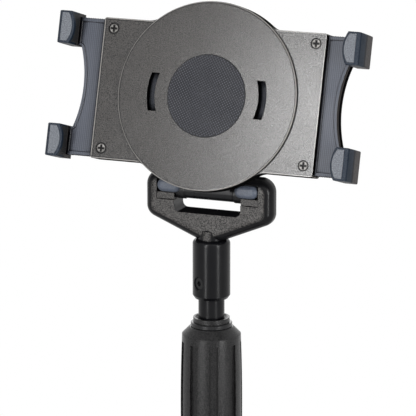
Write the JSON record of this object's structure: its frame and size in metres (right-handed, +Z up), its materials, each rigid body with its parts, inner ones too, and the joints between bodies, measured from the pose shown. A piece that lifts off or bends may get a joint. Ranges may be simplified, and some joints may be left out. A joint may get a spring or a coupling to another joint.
{
  "type": "tablet floor stand",
  "caption": "Tablet floor stand: telescopic twist-lock pole on a round base, with a turning and tilting holder whose hooked arms slide together through a gear.",
  "frame": {"origin": "on the floor, at the middle of the round base", "axes": "+Z up along the pole, +X to the right of the holder seen from its front, front of the holder towards -Y"},
  "size_m": [0.26, 0.26, 0.985],
  "materials": {
    "cast_base": "fine textured black powder coat",
    "foot_rubber": "matt",
    "zinc_steel": "zinc plated",
    "gloss_black_metal": "gloss black lacquer",
    "clutch_plastic": "satin black",
    "clutch_trim": "semi gloss black",
    "inner_nylon": "natural nylon",
    "yoke_metal": "fine grained dark grey face with glossy rims",
    "cap_plastic": "satin slate",
    "hinge_black": "satin black",
    "plate_shell": "fine grained warm grey",
    "pad_rubber": "slate rubber with a fine dot grid",
    "arm_plastic": "slate grey with a fine line texture",
    "hook_rubber": "soft dark slate",
    "screw_steel": "dark zinc",
    "gear_acetal": "natural acetal"
  },
  "bodies": {
    "stand": {"base_plate": "cast_base", "base_feet": "foot_rubber", "base_washer": "zinc_steel", "base_bolt": "zinc_steel", "pole_foot": "zinc_steel", "lower_tube": "gloss_black_metal", "clutch_body": "clutch_trim", "clutch_collet": "inner_nylon"},
    "grip": {"clutch_grip": "clutch_plastic", "clutch_cap": "clutch_trim", "clutch_wiper": "clutch_plastic", "grip_end_ring": "clutch_plastic"},
    "mast": {"upper_tube": "gloss_black_metal", "slider_bush": "inner_nylon", "collar": "gloss_black_metal", "collar_set_screw": "hinge_black", "swivel_friction_washer": "inner_nylon"},
    "fork": {"yoke": "yoke_metal", "swivel_screw": "zinc_steel", "swivel_spring_washer": "zinc_steel", "tilt_axle": "zinc_steel", "left_axle_cap": "cap_plastic", "right_axle_cap": "cap_plastic", "left_axle_retainer": "yoke_metal", "right_axle_retainer": "yoke_metal"},
    "bracket": {"hinge_bracket": "hinge_black", "left_hinge_bush": "hinge_black", "right_hinge_bush": "hinge_black"},
    "holder": {"front_cover": "plate_shell", "back_cover": "plate_shell", "grip_pad": "pad_rubber", "cover_screws": "screw_steel", "hub_cap": "hinge_black", "hub_screws": "zinc_steel", "hub_wave_washer": "zinc_steel", "swivel_friction_ring": "inner_nylon"},
    "gear": {"sync_gear": "gear_acetal"},
    "left_slide": {"left_arm": "arm_plastic", "left_upper_hook": "hook_rubber", "left_lower_hook": "hook_rubber"},
    "right_slide": {"right_arm": "arm_plastic", "right_upper_hook": "hook_rubber", "right_lower_hook": "hook_rubber"}
  },
  "joints": [
    {"name": "clutch_twist", "type": "hinge", "parent": "stand", "child": "grip", "pos_m": [0, 0, 0.73], "axis": [0, 0, 1], "range_deg": [0, 100]},
    {"name": "pole_height", "type": "slide", "parent": "stand", "child": "mast", "axis": [0, 0, 1], "range_m": [0, 0.48]},
    {"name": "fork_turn", "type": "hinge", "parent": "mast", "child": "fork", "pos_m": [0, 0, 0.835], "axis": [0, 0, 1], "continuous": true},
    {"name": "tilt", "type": "hinge", "parent": "fork", "child": "bracket", "pos_m": [0, 0, 0.87], "axis": [1, 0, 0], "range_deg": [-70, 17]},
    {"name": "holder_turn", "type": "hinge", "parent": "bracket", "child": "holder", "pos_m": [0, -0.00663, 0.92972], "axis": [0, -0.9563, 0.2924], "continuous": true},
    {"name": "left_arm_slide", "type": "slide", "parent": "holder", "child": "left_slide", "axis": [-1, 0, 0], "range_m": [0, 0.051]},
    {"name": "right_arm_slide", "type": "slide", "parent": "holder", "child": "right_slide", "axis": [1, 0, 0], "range_m": [0, 0.051]},
    {"name": "gear_spin", "type": "hinge", "parent": "holder", "child": "gear", "pos_m": [0, -0.00663, 0.92972], "axis": [0, -0.9563, 0.2924], "range_deg": [-366, 1]}
  ],
  "couplings": [
    {"joint": "right_arm_slide", "follows": "left_arm_slide", "ratio": 1},
    {"joint": "gear_spin", "follows": "left_arm_slide", "rad_per_m": -125}
  ]
}
